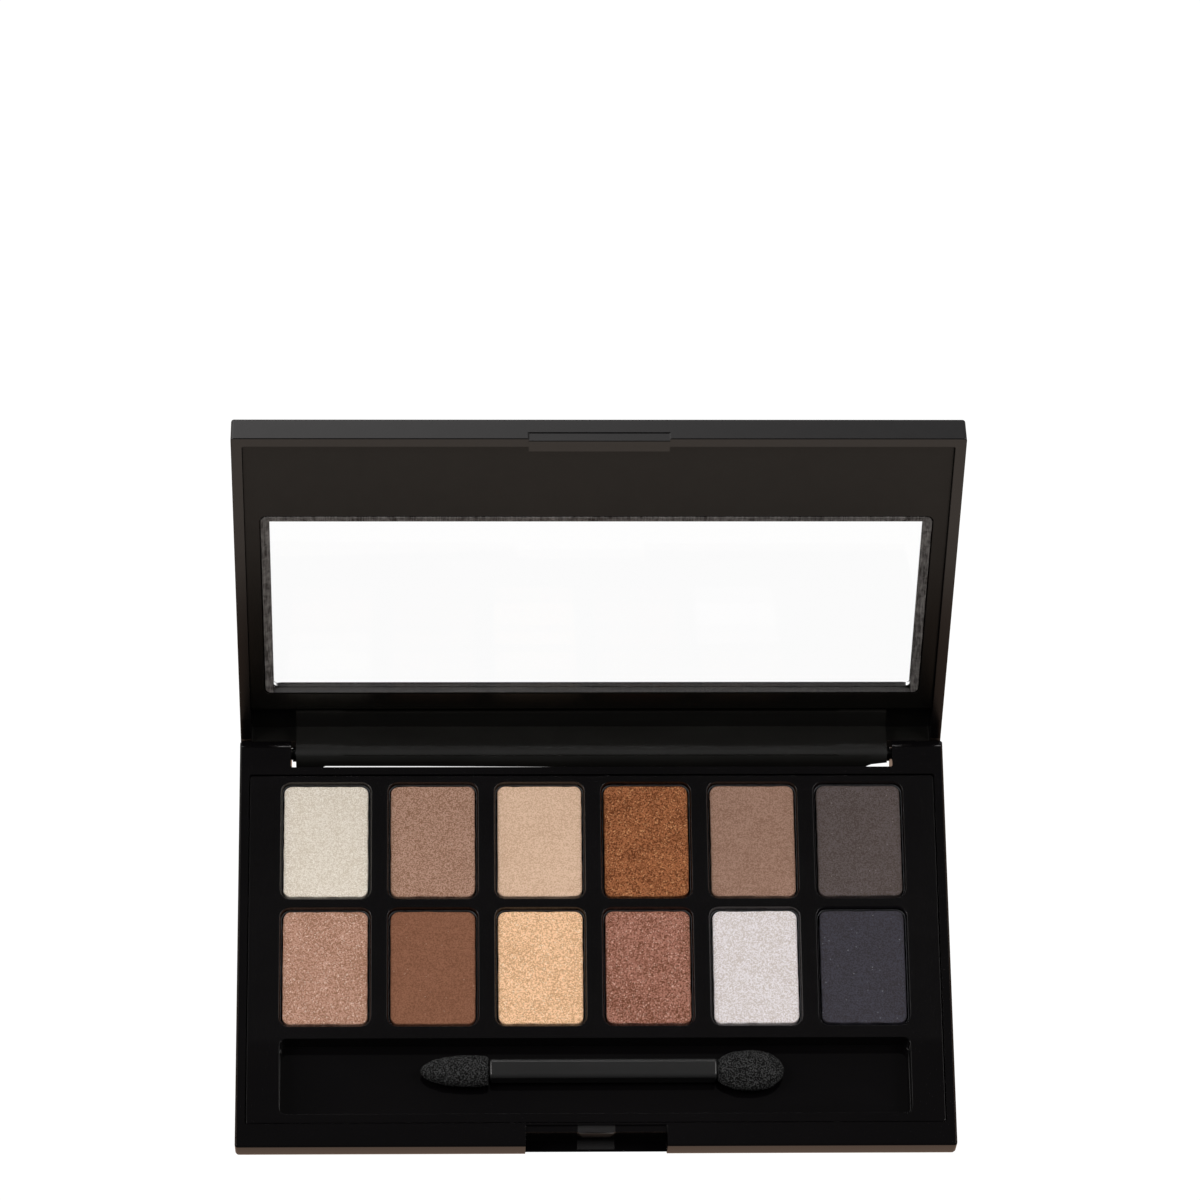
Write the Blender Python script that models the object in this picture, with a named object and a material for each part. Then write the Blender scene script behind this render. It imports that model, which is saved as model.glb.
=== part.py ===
# Hinged pressed-powder eyeshadow palette, modelled open with the lid leaning back.
# Metres. +Z up, +X to the right, -Y towards the user. Origin: centre of the base underside.
import math

import bmesh
import bpy
from mathutils import Matrix, Vector

MM = 0.001

# outer case
WIDTH = 122.0
DEPTH = 73.4
BASE_H = 7.0
CASE_H = 12.0
CORNER_R = 0.5
BASE_ROUND = 3.0
LID_ROUND = 0.35
RIM_GAP = 0.1
LID_OPEN_DEG = 113.0

# hinge
PIN_Y = 35.2
PIN_Z = 4.3
PIN_R = 1.0
BORE_R = 1.05
PIN_IN_X = 47.5
PIN_OUT_X = 57.0
KNUCKLE_HALF = 51.3
EAR_IN_X = 52.15
BARREL_R = 2.75
BOSS_R = 1.3
CUT_DEG = 316.0
CUTOUT_Y = 31.76

# base shell
TRAY_HALF_X = 59.35
TRAY_FRONT_Y = -32.65
TRAY_REAR_Y = 30.4
FLOOR_T = 1.2
NOTCH_HALF = 12.0
NOTCH_WALL_Y = -33.3
SHELF_Y = -34.1
SHELF_T = 0.8
NOTCH_FLOOR_Z = 1.0
SHELF_Z = 6.5

# insert
INSERT_HALF_X = 59.25
INSERT_FRONT_Y = -32.55
INSERT_REAR_Y = 30.3
INSERT_Z0 = 1.5
INSERT_TOP = 6.8
POCKET = (15.9, 21.7)
LIP_Z = 6.05
LIP_IN = 0.4
LIP_TOP_IN = 0.1
PITCH_X = 18.4
ROW_Y = (18.33, -4.64)
WELL_HALF_X = 53.65
WELL_Y = (-30.9, -17.5)
WELL_FLOOR_Z = 2.3

# pans and powders
PAN = (15.4, 21.2)
PAN_WALL = 0.2
PAN_Z = (1.5, 5.8)
POWDER = (14.7, 20.5)
POWDER_Z = (1.95, 6.25)

# lid
WALL_T = 1.8
ROOF_Z = 10.6
SEAT_Z = 8.5
FRAME_TOP_Z = 10.1
FRAME_REAR_Y = 28.2
PANE_LOW = (56.58, -17.58, 24.4)
PANE_HIGH = (55.35, -16.45, 24.3)
PANE_BEVEL = 1.5
PANE_SINK = 0.35
PANE_STEP_Z = 10.5
PANE_TOP_Z = 11.85
CLEAR = 0.12
FRAME_CLEAR = 0.04

# applicator
APP_Y = -22.6
HANDLE_X = (-17.95, 20.6)
HANDLE_W = 3.5
HANDLE_H = 3.8
APP_Z0 = 2.5
STEM_LEN = 6.5
STEM_W = 2.0
STEM_H = 1.0


def clear_scene():
    for ob in list(bpy.data.objects):
        bpy.data.objects.remove(ob, do_unlink=True)


def material(name, color, rough, metal=0.0, trans=0.0):
    mat = bpy.data.materials.new(name)
    mat.use_nodes = True
    shader = mat.node_tree.nodes["Principled BSDF"]
    shader.inputs["Base Color"].default_value = (*color, 1.0)
    shader.inputs["Roughness"].default_value = rough
    shader.inputs["Metallic"].default_value = metal
    shader.inputs["Transmission Weight"].default_value = trans
    mat.diffuse_color = (*color, 1.0)
    return mat


def add_object(name, mesh, mat=None, smooth=False):
    ob = bpy.data.objects.new(name, mesh)
    bpy.context.collection.objects.link(ob)
    if mat is not None:
        mesh.materials.append(mat)
    mesh.polygons.foreach_set("use_smooth", [smooth] * len(mesh.polygons))
    return ob


def rounded_rect(x0, x1, y0, y1, radius, steps=4):
    """Points of a rounded rectangle, counter-clockwise seen from +Z."""
    r = max(min(radius, (x1 - x0) / 2 - 0.01, (y1 - y0) / 2 - 0.01), 0.05)
    centres = [(x1 - r, y1 - r, 0), (x0 + r, y1 - r, 90), (x0 + r, y0 + r, 180), (x1 - r, y0 + r, 270)]
    pts = []
    for cx, cy, a0 in centres:
        for k in range(steps + 1):
            a = math.radians(a0 + 90.0 * k / steps)
            pts.append((cx + r * math.cos(a), cy + r * math.sin(a)))
    return pts


def loft(name, loops, close_ends=True, ring=False):
    """Mesh through loops of (x, y, z) in millimetres; ring joins the last loop to the first."""
    bm = bmesh.new()
    rows = [[bm.verts.new(Vector(p) * MM) for p in loop] for loop in loops]
    pairs = list(zip(rows[:-1], rows[1:]))
    if ring:
        pairs.append((rows[-1], rows[0]))
    count = len(rows[0])
    for low, high in pairs:
        for k in range(count):
            j = (k + 1) % count
            bm.faces.new((low[k], low[j], high[j], high[k]))
    if close_ends and not ring:
        bm.faces.new(list(reversed(rows[0])))
        bm.faces.new(rows[-1])
    bmesh.ops.recalc_face_normals(bm, faces=bm.faces[:])
    mesh = bpy.data.meshes.new(name)
    bm.to_mesh(mesh)
    bm.free()
    return mesh


def slab_levels(x0, x1, y0, y1, radius, levels, steps=4):
    """Loops of a rounded slab; levels is a list of (z, inset)."""
    loops = []
    for z, inset in levels:
        pts = rounded_rect(x0 + inset, x1 - inset, y0 + inset, y1 - inset, max(radius - inset, 0.3), steps)
        loops.append([(x, y, z) for x, y in pts])
    return loops


def slab(name, x0, x1, y0, y1, z0, z1, radius=0.1, steps=4, top=0.0, bottom=0.0):
    levels = [(z0, bottom)]
    if bottom:
        levels.append((z0 + bottom, 0.0))
    if top:
        levels.append((z1 - top, 0.0))
    levels.append((z1, top))
    return loft(name, slab_levels(x0, x1, y0, y1, radius, levels, steps))


def round_levels(z_edge, radius, sign, steps=4):
    """Levels of a quarter round from the outline to an edge at z_edge."""
    out = []
    for k in range(steps + 1):
        a = math.radians(90.0 * k / steps)
        out.append((z_edge - sign * radius * (1 - math.sin(a)), radius * (1 - math.cos(a))))
    return out


def prism_x(name, profile, x0, x1):
    """Solid along X from a closed list of (y, z) points."""
    return loft(name, [[(x0, y, z) for y, z in profile], [(x1, y, z) for y, z in profile]])


def circle_yz(radius, count=24, y=PIN_Y, z=PIN_Z):
    pts = []
    for k in range(count):
        a = 2 * math.pi * k / count
        pts.append((y + radius * math.cos(a), z + radius * math.sin(a)))
    return pts


def cut(target, mesh, name, operation="DIFFERENCE", parent=None):
    tool = add_object(name, mesh)
    tool.display_type = "WIRE"
    tool.hide_render = True
    if parent is not None:
        tool.parent = parent
    mod = target.modifiers.new(name, "BOOLEAN")
    mod.operation = operation
    mod.solver = "EXACT"
    mod.object = tool
    return tool


def nub_mesh():
    """Catch plate under the shelf, narrower towards its foot."""
    rows = [[(-half, y, z), (half, y, z), (half, -33.0, z), (-half, -33.0, z)]
            for half, y, z in ((2.3, -33.95, 3.0), (2.9, -34.25, 5.9), (2.9, -34.25, 6.2))]
    return loft("catch_nub", rows)


def build_base(mat):
    half = WIDTH / 2
    front = -DEPTH / 2
    levels = sorted(round_levels(0.0, BASE_ROUND, -1))
    levels += [(BASE_H - 0.3, 0.0), (BASE_H, 0.3)]
    shell = add_object(
        "base_shell",
        loft("base_shell", slab_levels(-half, half, front, -front, CORNER_R, levels)),
        mat,
    )
    cut(shell, slab("tray_cut", -TRAY_HALF_X, TRAY_HALF_X, TRAY_FRONT_Y, TRAY_REAR_Y, FLOOR_T, 9.0, 0.5),
        "tray_cut")
    cut(shell, slab("rear_cut", -EAR_IN_X, EAR_IN_X, CUTOUT_Y, 40.0, -1.0, 9.0), "rear_cut")
    notch = [(-40.0, NOTCH_FLOOR_Z), (NOTCH_WALL_Y, NOTCH_FLOOR_Z), (NOTCH_WALL_Y, SHELF_Z - SHELF_T),
             (SHELF_Y, SHELF_Z - SHELF_T), (SHELF_Y, 9.0), (-40.0, 9.0)]
    cut(shell, prism_x("notch_cut", notch, -NOTCH_HALF, NOTCH_HALF), "notch_cut")
    cut(shell, slab("shelf_cut", -NOTCH_HALF, NOTCH_HALF, -35.0, -32.95, SHELF_Z, 9.0), "shelf_cut")
    arc = [(PIN_Y + 2.7 * math.sin(math.radians(a)), PIN_Z + 2.7 * math.cos(math.radians(a)))
           for a in (0, 9, 18, 27, 36)]
    corner = arc + [(37.5, 6.3), (37.5, 8.0), (PIN_Y, 8.0)]
    cut(shell, prism_x("ear_cut", corner, -62.0, 62.0), "ear_cut")
    cut(shell, prism_x("ear_bore_l", circle_yz(BORE_R), -PIN_OUT_X - 0.3, -50.0), "ear_bore_l")
    cut(shell, prism_x("ear_bore_r", circle_yz(BORE_R), 50.0, PIN_OUT_X + 0.3), "ear_bore_r")
    cut(shell, nub_mesh(), "catch_nub", "UNION")
    return shell


def pan_centres():
    out = []
    for row, y in enumerate(ROW_Y):
        for col in range(6):
            out.append((row, col, (col - 2.5) * PITCH_X, y))
    return out


def build_insert(mat):
    insert = add_object(
        "insert_panel",
        slab("insert_panel", -INSERT_HALF_X, INSERT_HALF_X, INSERT_FRONT_Y, INSERT_REAR_Y,
             INSERT_Z0, INSERT_TOP, 0.4, 2, top=0.15),
        mat,
    )
    w, d = POCKET
    levels = [(1.0, 0.0), (LIP_Z, 0.0), (LIP_Z, LIP_IN), (INSERT_TOP, LIP_TOP_IN), (9.0, LIP_TOP_IN)]
    for row, col, x, y in pan_centres():
        tag = f"pocket_cut_{row + 1}{col + 1}"
        cut(insert, loft(tag, slab_levels(x - w / 2, x + w / 2, y - d / 2, y + d / 2, 1.9, levels)), tag)
    cut(insert, slab("well_cut", -WELL_HALF_X, WELL_HALF_X, WELL_Y[0], WELL_Y[1], WELL_FLOOR_Z, 9.0, 1.2),
        "well_cut")
    return insert


def build_pan(tag, x, y, mat):
    w, d = PAN
    z0, z1 = PAN_Z
    loops = []
    for z, inset in ((z1, 0.0), (z0 + 0.4, 0.0), (z0, 0.4)):
        loops += slab_levels(x - w / 2, x + w / 2, y - d / 2, y + d / 2, 1.7, [(z, inset)], 3)
    inner = []
    for z, inset in ((z0 + PAN_WALL, PAN_WALL + 0.35), (z0 + 0.55, PAN_WALL), (z1, PAN_WALL)):
        inner += slab_levels(x - w / 2, x + w / 2, y - d / 2, y + d / 2, 1.7, [(z, inset)], 3)
    bm = bmesh.new()
    rows = [[bm.verts.new(Vector(p) * MM) for p in loop] for loop in loops + inner]
    count = len(rows[0])
    for a, b in ((0, 1), (1, 2), (3, 4), (4, 5), (5, 0)):
        for k in range(count):
            j = (k + 1) % count
            bm.faces.new((rows[a][k], rows[a][j], rows[b][j], rows[b][k]))
    bm.faces.new(rows[2])
    bm.faces.new(rows[3])
    bmesh.ops.recalc_face_normals(bm, faces=bm.faces[:])
    mesh = bpy.data.meshes.new(tag)
    bm.to_mesh(mesh)
    bm.free()
    return add_object(tag, mesh, mat)


def build_powder(tag, x, y, mat):
    w, d = POWDER
    z0, z1 = POWDER_Z
    box = (x - w / 2, x + w / 2, y - d / 2, y + d / 2)
    levels = [(z0, 0.5), (z0 + 0.5, 0.0), (z1 - 0.12, 0.0), (z1, 0.18)]
    return add_object(tag, loft(tag, slab_levels(*box, 1.45, levels, 3)), mat)


def build_pin(tag, sign, mat):
    mesh = prism_x(tag, circle_yz(PIN_R), sign * PIN_IN_X, sign * PIN_OUT_X)
    return add_object(tag, mesh, mat, smooth=False)


def knuckle_profile(inset, reach):
    """Hinge knuckle cross-section, seen along X.

    The scoop is drawn back by inset. The lower rear corner is cut flat at a distance reach from the pin.
    """
    r = BARREL_R - inset
    front = PIN_Y - r
    pts = [(29.0 + inset, 11.0), (29.0 + inset, 8.3 + inset), (front, 8.3 + inset)]
    for k in range(5):
        a = math.radians(180 + 46.0 * k / 4)
        pts.append((PIN_Y + r * math.cos(a), PIN_Z + r * math.sin(a)))
    flat = math.radians(CUT_DEG)
    end = flat - math.acos(reach / BARREL_R)
    for k in range(4):
        a = math.radians(232) + (end - math.radians(232)) * k / 3
        pts.append((PIN_Y + BARREL_R * math.cos(a), PIN_Z + BARREL_R * math.sin(a)))
    back = DEPTH / 2 - PIN_Y
    pts += [(PIN_Y + back, PIN_Z + (back * math.cos(flat) - reach) / -math.sin(flat)), (PIN_Y + back, 11.0)]
    return pts


def knuckle_mesh():
    end = KNUCKLE_HALF
    stations = [(-end, 0.0, 2.35), (-47.0, 0.0, 2.35), (-46.2, 0.0, 2.0), (-43.4, 0.0, 2.0), (-42.6, 0.4, 2.0),
                (-25.0, 0.4, 2.05), (-5.0, 0.4, 2.2), (42.6, 0.4, 2.22), (43.4, 0.0, 2.22), (47.6, 0.0, 2.22),
                (48.6, 0.0, 1.8), (end, 0.0, 1.5)]
    return loft("knuckle", [[(x, y, z) for y, z in knuckle_profile(i, r)] for x, i, r in stations])


def lid_place(ob):
    """Open pose: turned back about the pin axis."""
    pivot = Matrix.Translation(Vector((0.0, PIN_Y, PIN_Z)) * MM)
    turn = Matrix.Rotation(math.radians(-LID_OPEN_DEG), 4, "X")
    ob.matrix_world = pivot @ turn
    return ob


def about_pin(mesh):
    """Moves a closed-pose mesh so that its zero lies on the pin axis."""
    mesh.transform(Matrix.Translation(Vector((0.0, -PIN_Y, -PIN_Z)) * MM))
    return mesh


def build_lid(mat):
    half = WIDTH / 2
    back = DEPTH / 2
    rim = BASE_H + RIM_GAP
    levels = [(rim, 0.12), (rim + 0.12, 0.0)] + round_levels(CASE_H, LID_ROUND, 1)
    cover = add_object(
        "lid_cover",
        about_pin(loft("lid_cover", slab_levels(-half, half, -back, back, CORNER_R, levels))),
        mat,
    )
    lid_place(cover)
    inner = half - WALL_T
    cuts = (
        ("lid_hollow", slab("lid_hollow", -inner, inner, -back + WALL_T, back - WALL_T, 5.0, ROOF_Z, 0.4)),
        ("lid_opening", slab("lid_opening", -PANE_HIGH[0] - CLEAR, PANE_HIGH[0] + CLEAR,
                             PANE_HIGH[1] - CLEAR, PANE_HIGH[2] + CLEAR, 9.5, 14.0, 1.0)),
        ("lid_ear_relief", prism_x("lid_ear_relief", circle_yz(2.95, 48), -63.0, 63.0)),
        ("tongue_step", slab("tongue_step", -11.9, 11.9, -40.0, -36.55, 5.0, 8.7)),
    )
    for name, mesh in cuts:
        cut(cover, about_pin(mesh), name, parent=cover)
    tongue = [(-36.55, 6.8), (-36.45, 6.7), (-35.6, 6.7), (-35.6, 7.15), (-33.8, 7.15), (-33.8, 7.55),
              (-34.98, 8.3), (-35.3, 9.0), (-36.55, 9.0)]
    cut(cover, about_pin(prism_x("tongue", tongue, -11.7, 11.7)), "tongue", "UNION", cover)
    cut(cover, about_pin(knuckle_mesh()), "knuckle", "UNION", cover)
    for name, x0, x1 in (("boss_l", -KNUCKLE_HALF - 0.6, -50.0), ("boss_r", 50.0, KNUCKLE_HALF + 0.6)):
        cut(cover, about_pin(prism_x(name, circle_yz(BOSS_R), x0, x1)), name, "UNION", cover)
    bore_l = prism_x("knuckle_bore_l", circle_yz(BORE_R), -55.0, -PIN_IN_X + 0.3)
    bore_r = prism_x("knuckle_bore_r", circle_yz(BORE_R), PIN_IN_X - 0.3, 55.0)
    cut(cover, about_pin(bore_l), "knuckle_bore_l", parent=cover)
    cut(cover, about_pin(bore_r), "knuckle_bore_r", parent=cover)
    return cover


def build_inner_frame(mat):
    out = WIDTH / 2 - WALL_T - FRAME_CLEAR
    outer = (-out, out, -DEPTH / 2 + WALL_T + FRAME_CLEAR, FRAME_REAR_Y)
    hx, y0, y1 = PANE_LOW
    hole = (-hx - CLEAR, hx + CLEAR, y0 - CLEAR, y1 + CLEAR)
    loops = slab_levels(*outer, 0.3, [(FRAME_TOP_Z, 0.0), (SEAT_Z, 0.0)])
    loops += slab_levels(*hole, 1.2, [(SEAT_Z, 0.0), (FRAME_TOP_Z, 0.0)])
    mesh = about_pin(loft("lid_inner_frame", loops, ring=True))
    return lid_place(add_object("lid_inner_frame", mesh, mat))


def build_pane(mat):
    hx, y0, y1 = PANE_LOW
    kx, k0, k1 = PANE_HIGH
    loops = slab_levels(-hx, hx, y0, y1, 1.2, [(SEAT_Z + PANE_SINK, PANE_BEVEL), (SEAT_Z, 0.35)])
    loops += slab_levels(-hx, hx, y0, y1, 1.2, [(SEAT_Z, 0.1), (PANE_STEP_Z, 0.0)])
    loops += slab_levels(-kx, kx, k0, k1, 1.4, [(PANE_STEP_Z, 0.0), (PANE_TOP_Z - 0.2, 0.0), (PANE_TOP_Z, 0.2)])
    mesh = about_pin(loft("window_pane", loops))
    return lid_place(add_object("window_pane", mesh, mat))


def ellipse_ring(x, half_y, half_z, yc, zc, count=20, power=1.0):
    pts = []
    for k in range(count):
        a = 2 * math.pi * (k + 0.5) / count
        c, s = math.cos(a), math.sin(a)
        py = math.copysign(abs(c) ** power, c) * half_y
        pz = math.copysign(abs(s) ** power, s) * half_z
        pts.append((x, yc + py, zc + pz))
    return pts


def build_stick(mat):
    zc = APP_Z0 + 1.9
    hy, hz = HANDLE_W / 2, HANDLE_H / 2
    x0, x1 = HANDLE_X
    stations = [(x0 - STEM_LEN, STEM_W / 2, STEM_H / 2, 0.6), (x0, STEM_W / 2, STEM_H / 2, 0.6),
                (x0, hy - 0.3, hz - 0.3, 0.45), (x0 + 0.3, hy, hz, 0.45),
                (x1 - 0.3, hy, hz, 0.45), (x1, hy - 0.3, hz - 0.3, 0.45),
                (x1, STEM_W / 2, STEM_H / 2, 0.6), (x1 + STEM_LEN, STEM_W / 2, STEM_H / 2, 0.6)]
    loops = [ellipse_ring(x, a, b, APP_Y, zc, 20, p) for x, a, b, p in stations]
    return add_object("applicator_stick", loft("applicator_stick", loops), mat, smooth=True)


def build_foam(tag, mouth, sign, shape, mat):
    """Foam tip over a stem; shape lists (distance from the mouth, half width, half thickness)."""
    zc = APP_Z0 + 1.9
    loops = [ellipse_ring(mouth + sign * d, a, b, APP_Y, zc, 20, 0.9) for d, a, b in reversed(shape)]
    ring_a, ring_b = STEM_W / 2 + 0.2, STEM_H / 2 + 0.2
    depth = STEM_LEN + 0.1
    loops.append(ellipse_ring(mouth, ring_a, ring_b, APP_Y, zc, 20, 0.6))
    loops.append(ellipse_ring(mouth + sign * depth, ring_a, ring_b, APP_Y, zc, 20, 0.6))
    return add_object(tag, loft(tag, loops), mat, smooth=True)


SHADES = (
    (0.68, 0.60, 0.51), (0.32, 0.18, 0.13), (0.61, 0.41, 0.28),
    (0.25, 0.09, 0.036), (0.27, 0.16, 0.115), (0.084, 0.065, 0.061),
    (0.42, 0.23, 0.165), (0.21, 0.091, 0.051), (0.75, 0.46, 0.27),
    (0.28, 0.127, 0.087), (0.67, 0.60, 0.60), (0.042, 0.039, 0.048),
)


def main():
    clear_scene()
    black = material("case_plastic", (0.012, 0.011, 0.011), 0.2)
    insert = material("insert_plastic", (0.010, 0.010, 0.012), 0.18)
    frame = material("frame_plastic", (0.018, 0.017, 0.015), 0.3)
    clear = material("clear_plastic", (0.95, 0.95, 0.95), 0.03, trans=1.0)
    tin = material("pan_metal", (0.6, 0.6, 0.62), 0.35, metal=1.0)
    steel = material("pin_steel", (0.35, 0.35, 0.36), 0.3, metal=1.0)
    stick = material("stick_plastic", (0.014, 0.014, 0.014), 0.22)
    foam_l = material("foam_narrow", (0.02, 0.02, 0.02), 0.95)
    foam_r = material("foam_wide", (0.02, 0.02, 0.02), 0.95)
    build_base(black)
    build_insert(insert)
    for row, col, x, y in pan_centres():
        number = row * 6 + col + 1
        build_pan(f"pan_{number:02d}", x, y, tin)
        shade = material(f"powder_{number:02d}", SHADES[number - 1], 0.8)
        build_powder(f"powder_{number:02d}", x, y, shade)
    build_pin("hinge_pin_left", -1, steel)
    build_pin("hinge_pin_right", 1, steel)
    build_lid(black)
    build_inner_frame(frame)
    build_pane(clear)
    build_stick(stick)
    narrow = [(0.0, 2.3, 1.4), (0.3, 2.55, 1.6), (1.2, 2.72, 1.8), (3.0, 2.78, 1.85), (5.2, 2.72, 1.85),
              (7.2, 2.5, 1.7), (8.8, 2.15, 1.45), (10.2, 1.6, 1.1), (11.1, 1.0, 0.7), (11.5, 0.45, 0.35)]
    wide = [(0.0, 1.75, 1.2), (0.3, 2.0, 1.35), (1.07, 2.55, 1.6), (2.7, 3.25, 1.85), (5.0, 3.6, 1.9),
            (6.5, 3.6, 1.85), (8.3, 3.25, 1.65), (9.8, 2.55, 1.3), (10.8, 1.6, 0.85), (11.3, 0.7, 0.4)]
    build_foam("foam_tip_narrow", HANDLE_X[0] - 0.2, -1, narrow, foam_l)
    build_foam("foam_tip_wide", HANDLE_X[1] + 0.15, 1, wide, foam_r)


main()
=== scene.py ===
"""Open eyeshadow palette: slim hinged case, clear lid window, pressed powders and foam applicator.

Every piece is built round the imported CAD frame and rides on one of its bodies. Sizes are in
millimetres in the classes and become metres when a mesh is made.
"""

from __future__ import annotations

import logging
import math
from collections.abc import Callable, Iterable, Sequence
from dataclasses import dataclass, field
from enum import Enum

import bmesh
import bpy
import numpy as np
from bmesh.types import BMEdge, BMesh, BMVert
from mathutils import Matrix, Vector, noise


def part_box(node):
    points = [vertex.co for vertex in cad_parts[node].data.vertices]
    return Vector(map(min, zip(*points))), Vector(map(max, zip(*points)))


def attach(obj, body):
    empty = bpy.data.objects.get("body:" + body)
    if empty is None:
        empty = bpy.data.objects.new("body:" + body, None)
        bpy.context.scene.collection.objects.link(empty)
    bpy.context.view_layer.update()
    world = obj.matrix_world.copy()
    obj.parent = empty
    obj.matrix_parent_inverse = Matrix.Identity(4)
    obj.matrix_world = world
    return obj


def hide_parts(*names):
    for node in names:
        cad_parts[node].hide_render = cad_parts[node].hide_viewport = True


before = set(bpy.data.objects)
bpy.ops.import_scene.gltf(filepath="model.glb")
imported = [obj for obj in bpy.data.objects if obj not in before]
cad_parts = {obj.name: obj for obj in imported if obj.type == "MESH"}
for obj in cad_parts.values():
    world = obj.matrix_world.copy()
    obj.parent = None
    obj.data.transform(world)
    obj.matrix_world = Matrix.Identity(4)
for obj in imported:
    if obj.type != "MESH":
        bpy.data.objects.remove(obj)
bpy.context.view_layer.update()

OPEN_TURN = math.radians(113.0)  # how far the lid stands open
MM = 0.001  # metres in a millimetre
SOFT = 0.0002  # soft border between two finishes, in metres
WELD = 2e-6  # CAD points closer than this are one, in metres
FLAT_TURN = math.radians(0.6)  # CAD faces that meet flatter than this become one
EDGE_TURN = math.radians(32.0)  # edges sharper than this are rounded
GRAIN_UPRIGHT = 0.6  # loose grains lie on faces that look up at least this much
GRAIN_DENSITY = 7.0e5  # loose grains to a square metre, before they are limited
GRAIN_SIZES = (0.35, 1.25)  # smallest and largest share of a grain's full size
RAYS = ("Camera", "Transmission", "Diffuse")  # rays that the floor tells apart
LOG = logging.getLogger("palette")

Colour = tuple[float, float, float]
Point = tuple[float, float, float]
Inputs = dict[str | int, object]


# --------------------------------------------------------------------------- shader tools


class Val:
    """A shader socket that takes part in ordinary Python arithmetic."""

    def __init__(self, graph: Graph, socket: bpy.types.NodeSocket) -> None:
        """Wraps one output socket of a graph.

        Args:
            graph: The graph that new Math nodes are added to.
            socket: The output socket.
        """
        self.graph = graph
        self.socket = socket

    def _math(self, operation: str, first: Val | float, second: Val | float) -> Val:
        """Adds one Math node.

        Args:
            operation: The Math node's operation.
            first: Its first value.
            second: Its second value.

        Returns:
            The node's result.
        """
        return self.graph.step("ShaderNodeMath", {"operation": operation}, {0: first, 1: second})

    def __add__(self, other: Val | float) -> Val:
        """Sum."""
        return self._math("ADD", self, other)

    def __radd__(self, other: float) -> Val:
        """Sum with a number on the left."""
        return self._math("ADD", other, self)

    def __sub__(self, other: Val | float) -> Val:
        """Difference."""
        return self._math("SUBTRACT", self, other)

    def __rsub__(self, other: float) -> Val:
        """Difference with a number on the left."""
        return self._math("SUBTRACT", other, self)

    def __mul__(self, other: Val | float) -> Val:
        """Product."""
        return self._math("MULTIPLY", self, other)

    def __rmul__(self, other: float) -> Val:
        """Product with a number on the left."""
        return self._math("MULTIPLY", other, self)

    def __abs__(self) -> Val:
        """Absolute value."""
        return self._math("ABSOLUTE", self, 0.0)

    def top(self, other: Val) -> Val:
        """The larger of two values."""
        return self._math("MAXIMUM", self, other)

    def above(self, low: float, high: float) -> Val:
        """Smooth step from 0 at low to 1 at high."""
        inputs = {"Value": self, "From Min": low, "From Max": high}
        return self.graph.step("ShaderNodeMapRange", {"interpolation_type": "SMOOTHSTEP"}, inputs)

    def below(self, low: float, high: float) -> Val:
        """Smooth step from 1 at low to 0 at high."""
        return 1.0 - self.above(low, high)


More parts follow.
